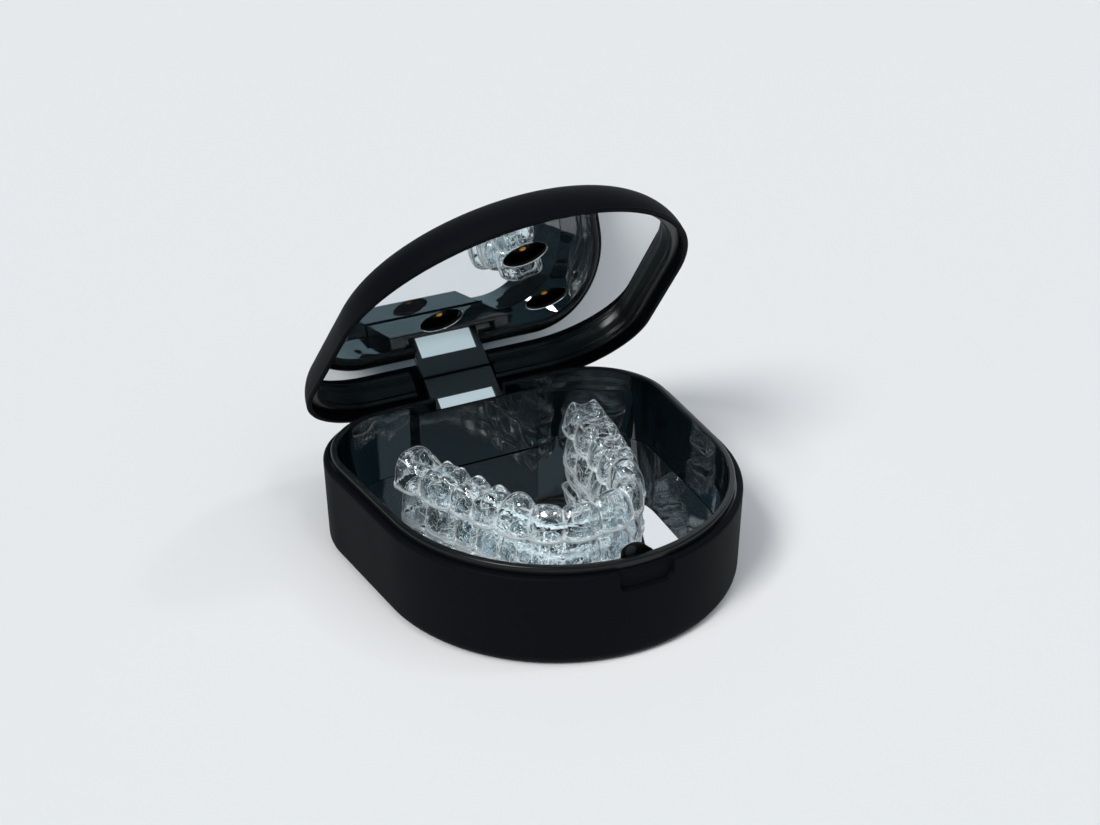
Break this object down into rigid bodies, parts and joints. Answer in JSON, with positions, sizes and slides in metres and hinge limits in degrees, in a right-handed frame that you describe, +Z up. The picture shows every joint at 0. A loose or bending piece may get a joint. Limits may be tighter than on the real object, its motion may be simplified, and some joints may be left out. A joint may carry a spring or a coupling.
{
  "type": "aligner case with trays",
  "caption": "Rounded black pocket case with a domed mirror-lined lid on an arm hinge, ultraviolet lights behind the lid mirror, and clear tooth trays stacked inside.",
  "frame": {"origin": "middle of the case's outline on the underside that it rests on", "axes": "+Z up, +X along the hinge, +Y towards the hinge at the back"},
  "size_m": [0.0882, 0.0945, 0.0887],
  "materials": {
    "soft_touch": "soft-touch black",
    "gloss_liner": "polished black",
    "mirror": "silvered",
    "satin_black": "satin black",
    "pin_steel": "ground",
    "bush_plastic": "natural",
    "cell_foil": "foil pouch",
    "board_green": "solder mask",
    "board_white": "solder mask",
    "socket_steel": "plated",
    "cable_pale": "satin",
    "led_gold": "gold plated",
    "clear_sheet": "clear thermoformed"
  },
  "bodies": {
    "base": {"base_shell": "soft_touch", "base_liner": "gloss_liner", "floor_mirror": "mirror", "latch_tongue": "satin_black", "hinge_pin": "pin_steel", "hinge_bush_left": "bush_plastic", "hinge_bush_right": "bush_plastic", "battery": "cell_foil", "control_board": "board_green", "charge_socket": "socket_steel"},
    "lid": {"lid_shell": "soft_touch", "lid_liner": "gloss_liner", "lid_mirror": "mirror", "hinge_arm": "satin_black", "lid_cable": "cable_pale", "led_board": "board_white", "uv_led_left": "led_gold", "uv_led_right": "led_gold", "uv_led_front": "led_gold"},
    "lower_tray": {"lower_tray": "clear_sheet"},
    "upper_tray": {"upper_tray": "clear_sheet"}
  },
  "joints": [
    {"name": "lid_hinge", "type": "hinge", "parent": "base", "child": "lid", "pos_m": [0, 0.0413, 0.0173], "axis": [-1, 0, 0], "range_deg": [-50.5, 44.5]},
    {"name": "lower_tray_lift", "type": "slide", "parent": "base", "child": "lower_tray", "axis": [0, 0, 1], "range_m": [0, 0.002]},
    {"name": "upper_tray_lift", "type": "slide", "parent": "lower_tray", "child": "upper_tray", "axis": [0, 0, 1], "range_m": [0, 0.0035]}
  ]
}
